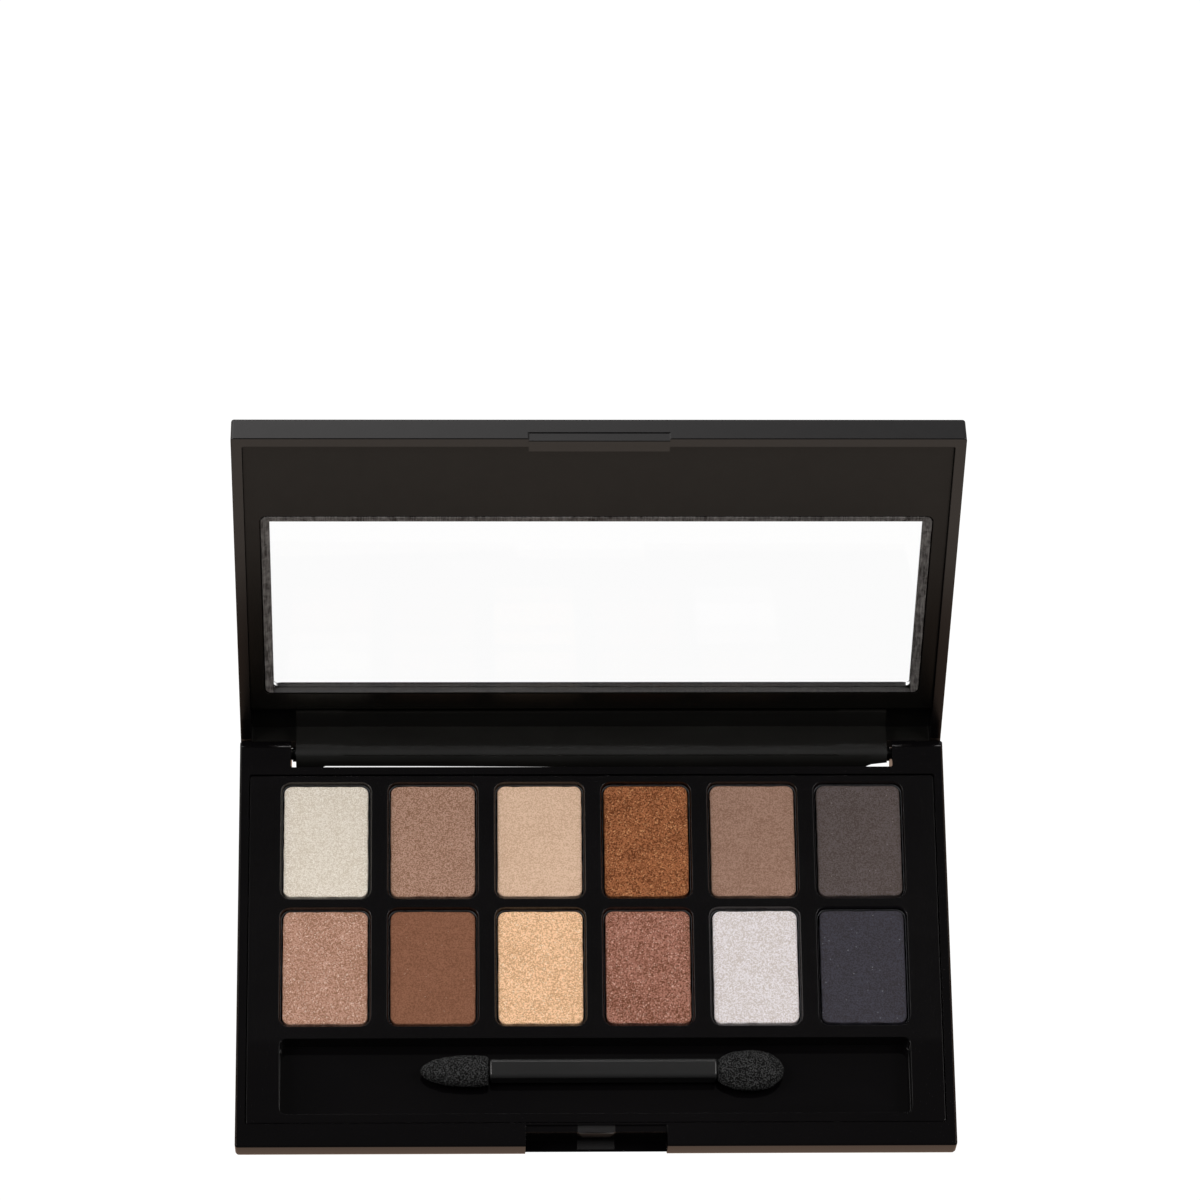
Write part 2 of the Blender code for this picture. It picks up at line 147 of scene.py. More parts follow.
class Graph:
    """A node tree, with a single method that adds any node."""

    def __init__(self, owner: bpy.types.Material | bpy.types.World | bpy.types.NodeTree) -> None:
        """Opens a node tree, or the one of a material or a world.

        Args:
            owner: The tree, material or world.
        """
        if isinstance(owner, bpy.types.NodeTree):
            self.tree = owner
        else:
            owner.use_nodes = True
            self.tree = owner.node_tree
        self.shader = self.tree.nodes.get("Principled BSDF")

    def add(self, kind: str, settings: dict[str, object], inputs: Inputs) -> bpy.types.Node:
        """Adds a node, sets it up, then fills its sockets.

        Args:
            kind: The node's type name.
            settings: Its properties, set first.
            inputs: Values, colours or links by socket name, identifier or index.

        Returns:
            The new node.
        """
        node = self.tree.nodes.new(kind)
        for key, value in settings.items():
            setattr(node, key, value)
        for key, value in inputs.items():
            self.feed(self._socket(node, key), value)
        return node

    def step(
        self, kind: str, settings: dict[str, object], inputs: Inputs, out: int | str = 0
    ) -> Val:
        """Adds a node as add does, and gives one of its outputs.

        Args:
            kind: The node's type name.
            settings: Its properties, set first.
            inputs: Values, colours or links by socket name, identifier or index.
            out: Index or name of the output.

        Returns:
            That output.
        """
        return Val(self, self.add(kind, settings, inputs).outputs[out])

    def _socket(self, node: bpy.types.Node, key: str | int) -> bpy.types.NodeSocket:
        """Finds an input of a node.

        Args:
            node: The node.
            key: The input's index, identifier or name.

        Returns:
            The input.
        """
        if isinstance(key, int):
            return node.inputs[key]
        for socket in node.inputs:
            if key == socket.identifier:
                return socket
        return node.inputs[key]

    def feed(self, socket: bpy.types.NodeSocket, value: object) -> None:
        """Links or sets a socket.

        Args:
            socket: The input.
            value: A Val or a list of them to link, or the socket's own value.
        """
        if isinstance(value, (Val, list)):
            for source in value if isinstance(value, list) else [value]:
                self.tree.links.new(source.socket, socket)
        elif isinstance(value, tuple) and len(value) == 3 and socket.type == "RGBA":
            socket.default_value = (*value, 1.0)
        else:
            socket.default_value = value

    def put(self, **sockets: object) -> None:
        """Feeds the Principled BSDF; underscores in the names stand for spaces."""
        for name, value in sockets.items():
            self.feed(self.shader.inputs[name.replace("_", " ")], value)

    def surface(self, shader: Val) -> None:
        """Links a shader to the tree's output."""
        output = next(n for n in self.tree.nodes if n.type.startswith("OUTPUT"))
        self.tree.links.new(shader.socket, output.inputs["Surface"])

    def blend(self, amount: Val, second: bpy.types.Node) -> None:
        """Makes the surface a blend of the Principled BSDF and a second shader.

        Args:
            amount: 0 for the Principled BSDF, 1 for the second shader.
            second: The second shader.
        """
        pair = {1: Val(self, self.shader.outputs[0]), 2: Val(self, second.outputs[0])}
        self.surface(self.step("ShaderNodeMixShader", {}, {0: amount, **pair}))

    def split(self, vector: Val) -> tuple[Val, Val, Val]:
        """The three parts of a vector."""
        node = self.add("ShaderNodeSeparateXYZ", {}, {0: vector})
        return tuple(Val(self, node.outputs[k]) for k in range(3))

    def coords(self, stretch: Point = (1.0, 1.0, 1.0), shift: Point = (0.0, 0.0, 0.0)) -> Val:
        """Object coordinates, stretched and shifted."""
        place = self.step("ShaderNodeTexCoord", {}, {}, "Object")
        return self.step("ShaderNodeMapping", {}, {"Vector": place, "Scale": stretch, "Location": shift})

    def noise(self, where: Val, scale: float, detail: float = 2.0, bend: float = 0.0) -> Val:
        """Noise of the given scale, centred near 0.5.

        Args:
            where: The coordinates.
            scale: Cells in a metre.
            detail: Octaves.
            bend: Distortion.

        Returns:
            The noise value.
        """
        inputs = {"Vector": where, "Scale": scale, "Detail": detail, "Distortion": bend}
        return self.step("ShaderNodeTexNoise", {}, inputs)

    def cells(self, where: Val, scale: float) -> Val:
        """A random number for each Voronoi cell of the given scale."""
        cell = self.step("ShaderNodeTexVoronoi", {}, {"Vector": where, "Scale": scale}, "Color")
        return self.step("ShaderNodeSeparateColor", {}, {0: cell})

    def mix(self, amount: Val | float, first: Val | Colour, second: Val | Colour) -> Val:
        """Colour between two others.

        Args:
            amount: 0 for the first colour, 1 for the second.
            first: The first colour.
            second: The second colour.

        Returns:
            The mixed colour.
        """
        inputs = {"Factor_Float": amount, "A_Color": first, "B_Color": second}
        node = self.add("ShaderNodeMix", {"data_type": "RGBA"}, inputs)
        return Val(self, next(s for s in node.outputs if s.identifier == "Result_Color"))

    def bump(self, height: Val, strength: float, distance: float) -> Val:
        """Bumped normal; distance is in metres."""
        inputs = {"Height": height, "Strength": strength, "Distance": distance}
        return self.step("ShaderNodeBump", {}, inputs)


# --------------------------------------------------------------------------- finishes


@dataclass(frozen=True)
class Finish:
    """A surface finish that makes one material."""

    name: str

    def material(self) -> bpy.types.Material:
        """Builds the finish's node tree.

        Returns:
            The material.
        """
        material = bpy.data.materials.new(self.name)
        self.paint(Graph(material))
        return material

    def paint(self, graph: Graph) -> None:
        """Fills the graph; each finish has its own."""
        raise NotImplementedError


@dataclass(frozen=True)
class MouldedPlastic(Finish):
    """Black moulded plastic with uneven polish and faint flow marks."""

    dark: Colour = (0.0011, 0.0009, 0.0011)
    light: Colour = (0.0030, 0.0026, 0.0029)
    polish: float = 0.11
    spread: float = 0.08
    specular: float = 0.5
    tint: Colour = (1.0, 0.97, 0.96)
    texture: float = 0.05
    dusted: float = 0.0
    dust_line: tuple[float, float] = (-0.0190, -0.0172)
    rubbed: float = 0.0
    catch_half: float = 0.0031
    catch_front: float = -0.0356
    catch_top: float = 0.0066

    def paint(self, graph: Graph) -> None:
        """Polish, flow marks and mould texture; dusted behind the applicator well, rubbed on the catch.

        Args:
            graph: The material's graph.
        """
        here = graph.coords()
        side, away, height = graph.split(here)
        behind_well = away.above(*self.dust_line)
        across = abs(side).below(self.catch_half, self.catch_half + SOFT)
        behind = away.above(self.catch_front, self.catch_front + SOFT)
        catch = across * behind * height.below(self.catch_top, self.catch_top + SOFT)
        flow = graph.noise(graph.coords((0.35, 1.0, 1.0)), 90.0, 3.0, 0.8)
        fine = graph.noise(here, 5200.0, 2.0)
        haze = graph.noise(here, 320.0, 4.0, 0.4)
        graph.put(
            Base_Color=graph.mix(flow, self.dark, self.light),
            Roughness=self.polish + self.spread * haze + behind_well * self.dusted + catch * self.rubbed,
            Normal=graph.bump(fine + flow * 2.0, self.texture, 0.00004),
            Specular_IOR_Level=self.specular,
            Specular_Tint=self.tint,
        )


def shut_coords(graph: Graph, pin: Point) -> Val:
    """Coordinates turned back to where they lie when the lid is shut.

    Args:
        graph: The material's graph.
        pin: A point on the hinge pin's axis, in metres.

    Returns:
        The turned coordinates.
    """
    axis = Vector(pin)
    shift = axis - Matrix.Rotation(OPEN_TURN, 3, "X") @ axis
    place = graph.step("ShaderNodeTexCoord", {}, {}, "Object")
    inputs = {"Vector": place, "Rotation": (OPEN_TURN, 0.0, 0.0), "Location": tuple(shift)}
    return graph.step("ShaderNodeMapping", {}, inputs)


@dataclass(frozen=True)
class LidPlastic(MouldedPlastic):
    """Lid plastic: bright outside and on its rim, satin inside round the hinge."""

    satin: float = 0.38
    satin_specular: float = 0.32
    satin_height: float = 0.0125
    satin_tones: tuple[Colour, Colour] = ((0.0034, 0.0031, 0.0027), (0.0062, 0.0058, 0.0050))
    rim_width: float = 0.0590
    roof: float = 0.0112
    pin: Point = (0.0, 0.0, 0.0)

    def paint(self, graph: Graph) -> None:
        """The bright plastic, blended with satin inside the rim.

        Args:
            graph: The material's graph.
        """
        super().paint(graph)
        side, _, height = graph.split(graph.coords())
        _, _, layer = graph.split(shut_coords(graph, self.pin))
        fine = graph.noise(graph.coords(), 3600.0, 3.0)
        worn = graph.noise(graph.coords((0.3, 1.0, 1.0)), 260.0, 3.0, 0.6)
        inputs = {
            "Base Color": graph.mix(worn, *self.satin_tones),
            "Roughness": self.satin + 0.08 * worn,
            "Normal": graph.bump(fine, 0.10, 0.00004),
            "Specular IOR Level": self.satin_specular,
        }
        second = graph.add("ShaderNodeBsdfPrincipled", {}, inputs)
        within = abs(side).below(self.rim_width, self.rim_width + SOFT)
        under_roof = layer.below(self.roof, self.roof + 2 * SOFT)
        low = height.below(self.satin_height, self.satin_height + 2 * SOFT)
        graph.blend(within * under_roof * low, second)


@dataclass(frozen=True)
class ClearPlastic(Finish):
    """Clear acrylic with a welded border, the faintest haze and hairline marks; the border carries painted
    refraction highlights.

    The index is lower than acrylic's, so that the window doesn't mirror the tray.
    """

    ior: float = 1.22
    pin: Point = (0.0, 0.0, 0.0)
    border: tuple[float, float, float] = (0.05505, -0.0162, 0.0241)
    clear: tuple[Colour, Colour] = ((0.931, 0.931, 0.931), (0.938, 0.938, 0.938))
    # Dark end: the black shell seen through the flange; pale end: painted refraction highlights.
    weld_and_glints: tuple[Colour, Colour] = ((0.014, 0.012, 0.012), (0.25, 0.235, 0.225))

    def paint(self, graph: Graph) -> None:
        """Transmission inside the border; on the welded border a streaky opaque grey: its dark end the
        shell seen through, its pale streaks painted refraction highlights, darker along the rear edge.

        Args:
            graph: The material's graph.
        """
        closed = shut_coords(graph, self.pin)
        side, away, _ = graph.split(closed)
        half, front, rear = self.border
        soft = SOFT / 2
        back = away.above(rear, rear + soft)
        on_weld = abs(side).above(half, half + soft).top(back).top(away.below(front - soft, front))
        hair = graph.noise(graph.coords((1.0, 0.06, 0.06)), 900.0, 2.0)
        haze = graph.noise(graph.coords(), 60.0, 2.0)
        graph.put(
            Base_Color=graph.mix(haze, *self.clear),
            Roughness=0.01 + 0.02 * haze,
            Normal=graph.bump(hair, 0.01, 0.00001),
            Transmission_Weight=1.0,
            IOR=self.ior,
        )
        # Painted refraction highlights: pale blotches and streaks on the welded border, darker along the
        # rear edge.
        glint_blotch = graph.noise(graph.coords(), 700.0, 3.0, 0.8)
        streak = graph.noise(graph.coords((3.0, 0.25, 0.25)), 1500.0, 2.0)
        tone = glint_blotch.above(0.25, 0.75) * 0.55 + streak.above(0.35, 0.7) * 0.45
        grey = graph.mix(tone * (1.0 - back * 0.9), *self.weld_and_glints)
        inputs = {"Base Color": grey, "Roughness": 0.28 + 0.2 * glint_blotch, "Specular IOR Level": 0.3}
        inputs["Normal"] = graph.bump(glint_blotch + streak * 0.4, 0.25, 0.0001)
        graph.blend(on_weld, graph.add("ShaderNodeBsdfPrincipled", {}, inputs))


@dataclass(frozen=True)
class Grain:
    """How strongly each layer of a pressed powder shows, and its share and gleam of mica."""

    fine: float
    coarse: float
    mottle: float
    streak: float
    mica: float
    gleam: float
    lustre: float


class Press(Enum):
    """How a powder is pressed and what it is loaded with."""

    MATTE = Grain(5.0, 1.2, 0.7, 0.7, 0.004, 0.30, 0.2)
    SATIN = Grain(6.6, 1.6, 0.8, 0.4, 0.030, 0.22, 0.2)
    SHIMMER = Grain(5.8, 1.8, 1.1, 0.3, 0.090, 0.42, 0.45)
    FROST = Grain(6.6, 1.4, 0.6, 0.4, 0.120, 0.34, 0.45)


@dataclass(frozen=True)
class Cake(Finish):
    """Pressed powder: granular body, mottling, press streaks and mica flecks."""

    tone: Colour = (0.5, 0.4, 0.3)
    fleck: Colour = (0.9, 0.8, 0.7)
    contrast: float = 0.2
    press: Press = Press.MATTE
    shift: float = 0.0
    fine_scale: float = 5100.0
    coarse_scale: float = 2600.0
    mottle_scale: float = 240.0
    streak_scale: float = 2400.0
    mica_scale: float = 5600.0
    swing: Colour = (1.1475, 1.4175, 1.755)

    def shaded(self, sign: float) -> Colour:
        """The tone made paler and greyer (sign 1) or deeper and richer (sign -1)."""
        swing = (sign * k * self.contrast for k in self.swing)
        return tuple(max(c * (1.0 + k), 0.0) for c, k in zip(self.tone, swing))

    def paint(self, graph: Graph) -> None:
        """Body colour, streaks and flecks, by the kind of press.

        Args:
            graph: The material's graph.
        """
        look = self.press.value
        here = graph.coords(shift=(self.shift, self.shift * 0.7, 0.0))
        along = graph.coords((0.10, 1.0, 1.0), (self.shift, 0.0, 0.0))
        grain = graph.noise(here, self.fine_scale, 1.5)
        coarse = graph.noise(here, self.coarse_scale, 1.0)
        mottle = graph.noise(here, self.mottle_scale, 2.0, 0.6)
        streak = graph.noise(along, self.streak_scale, 1.0)
        blend = (
            0.5
            + (grain - 0.5) * look.fine
            + (coarse - 0.5) * look.coarse
            + (mottle - 0.5) * look.mottle
            + (streak - 0.5) * look.streak
        )
        body = graph.mix(blend, self.shaded(-1.0), self.shaded(1.0))
        mica = graph.cells(here, self.mica_scale).above(1.0 - look.mica, 1.0 - look.mica * 0.35)
        graph.put(
            Base_Color=graph.mix(mica * look.gleam, body, self.fleck),
            Roughness=0.86 - mica * look.lustre,
            Metallic=mica * (look.lustre * 0.5),
            Normal=graph.bump(grain + coarse * 1.4 + streak * 0.4 + mica * 0.3, 0.35, 0.00007),
            Specular_IOR_Level=0.25,
        )


@dataclass(frozen=True)
class BareMetal(Finish):
    """Bare metal with drawn lines and a dull bloom."""

    tone: Colour = (0.5, 0.5, 0.52)
    polish: float = 0.3

    def paint(self, graph: Graph) -> None:
        """Drawn lines and an uneven bloom.

        Args:
            graph: The material's graph.
        """
        lines = graph.noise(graph.coords((0.08, 1.0, 1.0)), 4200.0, 2.0)
        bloom = graph.noise(graph.coords(), 700.0, 3.0)
        dull = tuple(0.6 * c for c in self.tone)
        graph.put(
            Base_Color=graph.mix(bloom.above(0.45, 0.8), self.tone, dull),
            Roughness=self.polish + 0.2 * lines,
            Metallic=1.0,
            Normal=graph.bump(lines, 0.12, 0.00002),
        )


@dataclass(frozen=True)
class OpenCellFoam(Finish):
    """Fine dark foam: pale cell walls over dark pores."""

    wall: Colour = (0.058, 0.058, 0.058)
    pore: Colour = (0.0010, 0.0010, 0.0010)
    sheen: float = 0.02

    def paint(self, graph: Graph) -> None:
        """Pores, cell walls and a soft sheen.

        Args:
            graph: The material's graph.
        """
        here = graph.coords()
        pores = graph.noise(here, 4700.0, 1.0).above(0.50, 0.57)
        fuzz = graph.noise(here, 6500.0, 1.0)
        broad = graph.noise(here, 500.0, 2.0)
        graph.put(
            Base_Color=graph.mix(pores * (0.75 + 0.5 * (broad - 0.3)), self.pore, self.wall),
            Roughness=0.93 - 0.08 * fuzz,
            Normal=graph.bump(pores + fuzz * 0.5, 0.8, 0.00012),
            Specular_IOR_Level=0.15,
            Sheen_Weight=self.sheen,
            Sheen_Roughness=0.4,
        )


@dataclass(frozen=True)
class PaleFloor(Finish):
    """Plain pale studio floor, lit evenly from within so that it stays white."""

    clean: float = 1.06
    far: Colour = (0.90, 0.78, 0.68)
    # Painted contact shadow: the floor under and close to the case, as seen in reflections.
    near: Colour = (0.36, 0.25, 0.19)
    rear: Colour = (0.34, 0.32, 0.30)
    contact_shadow_edge: tuple[float, float] = (-0.050, -0.040)
    rear_edge: tuple[float, float] = (0.060, 0.080)
    spill: float = 0.5

    def paint(self, graph: Graph) -> None:
        """White to the eye; in reflections warm, with a painted contact shadow that makes it darker and
        warmer under and close to the case, and darker behind it.

        Args:
            graph: The material's graph.
        """
        _, away, _ = graph.split(graph.coords())
        path = graph.add("ShaderNodeLightPath", {}, {})
        camera, through, diffuse = (Val(graph, path.outputs[f"Is {ray} Ray"]) for ray in RAYS)
        direct = camera.top(through)
        # Painted contact shadow: reflections see the floor darker and warmer under and close to the case.
        before = graph.mix(away.above(*self.contact_shadow_edge), self.far, self.near)
        mirrored = graph.mix(away.above(*self.rear_edge), before, self.rear)
        seen = graph.mix(diffuse, mirrored, (self.spill,) * 3)
        graph.put(
            Base_Color=(0.0, 0.0, 0.0),
            Roughness=1.0,
            Specular_IOR_Level=0.0,
            Emission_Color=graph.mix(direct, seen, (self.clean,) * 3),
            Emission_Strength=1.0,
        )


# --------------------------------------------------------------------------- mesh tools


def rounded_rect(width: float, height: float, radius: float, steps: int) -> list[tuple[float, float]]:
    """Outline of a rounded rectangle round the origin.

    Args:
        width: Its width.
        height: Its height.
        radius: Corner radius.
        steps: Segments in each corner.

    Returns:
        Points counter-clockwise.
    """
    a, b = width / 2 - radius, height / 2 - radius
    points = []
    for turn, (cx, cy) in enumerate(((a, b), (-a, b), (-a, -b), (a, -b))):
        for k in range(steps + 1):
            angle = math.pi / 2 * (turn + k / steps)
            points.append((cx + radius * math.cos(angle), cy + radius * math.sin(angle)))
    return points


def placed(name: str, data: bpy.types.ID) -> bpy.types.Object:
    """Puts a new object into the scene.

    Args:
        name: The object's name.
        data: Its mesh, light or camera.

    Returns:
        The object.
    """
    thing = bpy.data.objects.new(name, data)
    bpy.context.scene.collection.objects.link(thing)
    return thing


def finish_mesh(name: str, builder: Callable[[BMesh], None], smooth_deg: float = 40.0) -> bpy.types.Object:
    """Makes an object from a function that fills a bmesh in millimetres.

    Args:
        name: The object's name.
        builder: Fills the bmesh.
        smooth_deg: Edges sharper than this stay crisp.

    Returns:
        The linked object, in metres, with outward faces.
    """
    bm = bmesh.new()
    builder(bm)
    bmesh.ops.recalc_face_normals(bm, faces=bm.faces[:])
    bmesh.ops.scale(bm, vec=(MM, MM, MM), verts=bm.verts[:])
    mesh = bpy.data.meshes.new(name)
    bm.to_mesh(mesh)
    bm.free()
    mesh.shade_smooth()
    mesh.set_sharp_from_angle(angle=math.radians(smooth_deg))
    return placed(name, mesh)


def skin(bm: BMesh, loops: Sequence[Sequence[Point]]) -> None:
    """Joins loops of equal length into a closed tube.

    Args:
        bm: The bmesh to fill.
        loops: The loops, first to last.
    """
    rows = [[bm.verts.new(p) for p in loop] for loop in loops]
    count = len(rows[0])
    for low, high in zip(rows[:-1], rows[1:]):
        for k in range(count):
            j = (k + 1) % count
            bm.faces.new((low[k], low[j], high[j], high[k]))
    for row in (rows[0], rows[-1]):
        fan_cap(bm, row)


def fan_cap(bm: BMesh, row: Sequence[BMVert]) -> None:
    """Closes a loop of vertices with a fan round its middle.

    Args:
        bm: The bmesh to fill.
        row: The loop.
    """
    middle = bm.verts.new(sum((v.co for v in row), Vector()) / len(row))
    for k, vert in enumerate(row):
        bm.faces.new((vert, row[(k + 1) % len(row)], middle))


def refined(node: str, name: str, width: float, halves: bool = False) -> bpy.types.Object:
    """Copies a CAD node as clean flat faces and rounds its edges.

    Args:
        node: The CAD node.
        name: The new piece's name.
        width: Edge rounding in millimetres.
        halves: Keeps each flat face in two halves, so that a face round an opening stays simple.

    Returns:
        The new piece.
    """
    bm = bmesh.new()
    bm.from_mesh(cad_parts[node].data)
    bmesh.ops.remove_doubles(bm, verts=bm.verts[:], dist=WELD)
    if halves:
        whole = bm.verts[:] + bm.edges[:] + bm.faces[:]
        cut = bmesh.ops.bisect_plane(bm, geom=whole, plane_co=(0.0, 0.0, 0.0), plane_no=(1.0, 0.0, 0.0))
        for part in cut["geom_cut"]:
            if isinstance(part, BMEdge):
                part.seam = True
    parts = {"verts": bm.verts[:], "edges": bm.edges[:]}
    bmesh.ops.dissolve_limit(bm, angle_limit=FLAT_TURN, delimit={"SEAM"}, **parts)
    mesh = bpy.data.meshes.new(name)
    bm.to_mesh(mesh)
    bm.free()
    mesh.shade_smooth()
    piece = placed(name, mesh)
    edge = piece.modifiers.new("rounded_edges", "BEVEL")
    edge.width = width * MM
    edge.segments = 2
    edge.limit_method = "ANGLE"
    edge.angle_limit = EDGE_TURN
    edge.use_clamp_overlap = True
    edge.miter_outer = "MITER_ARC"
    return flattened(piece)


def flattened(piece: bpy.types.Object) -> bpy.types.Object:
    """Lets large flat faces keep their own normals, so that only the rounded edges look rounded.

    Args:
        piece: The piece, with any other modifiers.

    Returns:
        The same piece, as plain mesh.
    """
    weigh = piece.modifiers.new("flat_faces", "WEIGHTED_NORMAL")
    weigh.mode = "FACE_AREA"
    weigh.weight = 100
    weigh.keep_sharp = True
    return baked(piece)


def baked(piece: bpy.types.Object) -> bpy.types.Object:
    """Turns a piece's modifiers into plain mesh and removes them.

    Args:
        piece: The piece.

    Returns:
        The same piece.
    """
    evaluated = piece.evaluated_get(bpy.context.evaluated_depsgraph_get())
    mesh = bpy.data.meshes.new_from_object(evaluated)
    mesh.name = piece.name
    piece.modifiers.clear()
    piece.data = mesh
    return piece


def settle(
    piece: bpy.types.Object, finish: Finish, body: str, nodes: Iterable[str]
) -> bpy.types.Object:
    """Dresses a finished piece and ties it to the frame.

    Args:
        piece: The finished piece.
        finish: Its finish.
        body: The CAD body that it rides on.
        nodes: The CAD nodes that it stands for.

    Returns:
        The same piece.
    """
    piece.data.materials.clear()
    piece.data.materials.append(finish.material())
    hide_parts(*nodes)
    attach(piece, body)
    LOG.info("%s: %d faces on %s", piece.name, len(piece.data.polygons), body)
    return piece


def pin_axis() -> Vector:
    """The middle of the left hinge pin, brought to x = 0."""
    low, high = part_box("hinge_pin_left")
    return Vector((0.0, (low.y + high.y) / 2, (low.z + high.z) / 2))


# --------------------------------------------------------------------------- sub-assemblies


@dataclass
class Case:
    """The case bottom and the black insert that fills it."""

    shell_edge: float = 0.12
    insert_edge: float = 0.06
    shell_finish: Finish = field(
        default_factory=lambda: MouldedPlastic("case_plastic_base", polish=0.05, spread=0.05, rubbed=0.3)
    )
    insert_finish: Finish = field(
        default_factory=lambda: MouldedPlastic("insert_plastic", polish=0.04, spread=0.05, dusted=0.10)
    )

    def build(self) -> list[bpy.types.Object]:
        """Builds the shell and the insert.

        Returns:
            The two pieces.
        """
        shell = refined("base_shell", "case_shell", self.shell_edge)
        insert = refined("insert_panel", "case_insert", self.insert_edge)
        return [
            settle(shell, self.shell_finish, "case_base", ["base_shell"]),
            settle(insert, self.insert_finish, "case_base", ["insert_panel"]),
        ]


@dataclass
class Lid:
    """The lid cover with its knuckle and tongue, the inner frame and the clear window."""

    cover_edge: float = 0.08
    frame_edge: float = 0.04
    pane_edge: float = 0.08
    cover_finish: Finish = field(
        default_factory=lambda: LidPlastic("case_plastic_lid", polish=0.16, pin=tuple(pin_axis()))
    )
    frame_finish: Finish = field(
        default_factory=lambda: MouldedPlastic(
            "frame_plastic",
            (0.0026, 0.0024, 0.0020),
            (0.0046, 0.0043, 0.0037),
            polish=0.20,
            specular=0.26,
            texture=0.10,
        )
    )
    pane_finish: Finish = field(
        default_factory=lambda: ClearPlastic("clear_plastic", pin=tuple(pin_axis()))
    )

    def build(self) -> list[bpy.types.Object]:
        """Builds the lid's three pieces.

        Returns:
            The pieces.
        """
        cover = refined("lid_cover", "lid_shell", self.cover_edge, halves=True)
        inner = refined("lid_inner_frame", "lid_frame", self.frame_edge, halves=True)
        pane = refined("window_pane", "lid_window", self.pane_edge, halves=True)
        return [
            settle(cover, self.cover_finish, "lid", ["lid_cover"]),
            settle(inner, self.frame_finish, "lid", ["lid_inner_frame"]),
            settle(pane, self.pane_finish, "lid", ["window_pane"]),
        ]


@dataclass
class HingePin:
    """One short wire pin between an ear and the knuckle."""

    side: str
    sides: int = 40
    chamfer: float = 0.2
    finish: Finish = field(default_factory=lambda: BareMetal("pin_steel", (0.05, 0.048, 0.046), 0.35))

    def build(self) -> bpy.types.Object:
        """Builds the pin with chamfered ends.

        Returns:
            The pin.
        """
        node = f"hinge_pin_{self.side}"
        low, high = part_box(node)
        x0, x1 = low.x / MM, high.x / MM
        yc, zc = (low.y + high.y) / 2 / MM, (low.z + high.z) / 2 / MM
        radius = (high.y - low.y) / 2 / MM

        def ring(x: float, r: float) -> list[Point]:
            """One ring of the pin."""
            turns = (2 * math.pi * k / self.sides for k in range(self.sides))
            return [(x, yc + r * math.cos(a), zc + r * math.sin(a)) for a in turns]

        cut = self.chamfer
        stations = ((x0, radius - cut), (x0 + cut, radius), (x1 - cut, radius), (x1, radius - cut))
        rings = [ring(x, r) for x, r in stations]
        piece = flattened(finish_mesh(f"pin_{self.side}", lambda bm: skin(bm, rings)))
        return settle(piece, self.finish, "case_base", [node])


@dataclass
class PanSet:
    """Twelve thin metal pans, made by one Geometry Nodes tree."""

    wall: float = 0.2
    corner: float = 1.7
    corner_steps: int = 6
    finish: Finish = field(default_factory=lambda: BareMetal("pan_metal", (0.10, 0.10, 0.105), 0.45))

    def tree(self, material: bpy.types.Material) -> bpy.types.NodeTree:
        """Builds the tree: a filleted outline swept by a thin wall and floored, set on each point.

        Args:
            material: The pans' material.

        Returns:
            The Geometry Nodes tree, with named inputs.
        """
        sizes = dict.fromkeys(("Width", "Depth", "Height", "Wall", "Corner"), "Float")
        graph, given = geometry_tree("pan_set", sizes)
        wide, deep, tall, wall = (given[name] for name in ("Width", "Depth", "Height", "Wall"))

        def outline(shrink: float) -> Val:
            """A filleted rectangle.

            Args:
                shrink: How many walls it is drawn in by.

            Returns:
                The outline curve.
            """
            size = {"Width": wide - wall * shrink, "Height": deep - wall * shrink}
            quad = graph.step("GeometryNodeCurvePrimitiveQuadrilateral", {}, size)
            inputs = {"Curve": quad, "Count": self.corner_steps, "Radius": given["Corner"]}
            return graph.step("GeometryNodeFilletCurve", {"mode": "POLY"}, inputs)

        size = {"Width": wall, "Height": tall}
        profile = graph.step("GeometryNodeCurvePrimitiveQuadrilateral", {"mode": "RECTANGLE"}, size)
        sweep = {"Curve": outline(0.0), "Profile Curve": profile}
        walls = graph.step("GeometryNodeCurveToMesh", {}, sweep)
        floor = graph.step("GeometryNodeFillCurve", {"mode": "NGONS"}, {"Curve": outline(2.0)})
        inputs = {"Mesh": floor, "Individual": False, "Offset Scale": wall}
        thick = graph.step("GeometryNodeExtrudeMesh", {}, inputs)
        back = graph.step("GeometryNodeFlipFaces", {}, {0: floor})
        plate = graph.step("GeometryNodeJoinGeometry", {}, {0: [thick, back]})
        sealed = graph.step("GeometryNodeMergeByDistance", {}, {0: plate, "Distance": 1e-6})
        drop = graph.step("ShaderNodeCombineXYZ", {}, {"Z": tall * -0.5})
        lower = graph.step("GeometryNodeTransform", {}, {0: sealed, "Translation": drop})
        pan = graph.step("GeometryNodeJoinGeometry", {}, {0: [walls, lower]})
        inputs = {"Points": given["Geometry"], "Instance": pan}
        copies = graph.step("GeometryNodeInstanceOnPoints", {}, inputs)
        return closed_tree(graph, copies, material)

    def build(self) -> bpy.types.Object:
        """Sets a pan at the middle of each CAD pan.

        Returns:
            The set of pans as one piece.
        """
        nodes = [f"pan_{k:02d}" for k in range(1, 13)]
        boxes = [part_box(name) for name in nodes]
        mesh = bpy.data.meshes.new("pans")
        mesh.from_pydata([tuple((low + high) / 2) for low, high in boxes], [], [])
        piece = placed("pans", mesh)
        size = boxes[0][1] - boxes[0][0]
        tree = self.tree(self.finish.material())
        modifier = piece.modifiers.new("pan_set", "NODES")
        modifier.node_group = tree
        wall = self.wall * MM
        values = {"Width": size.x - wall, "Depth": size.y - wall, "Height": size.z}
        set_inputs(modifier, {**values, "Wall": wall, "Corner": self.corner * MM})
        return settle(baked(piece), self.finish, "case_base", nodes)


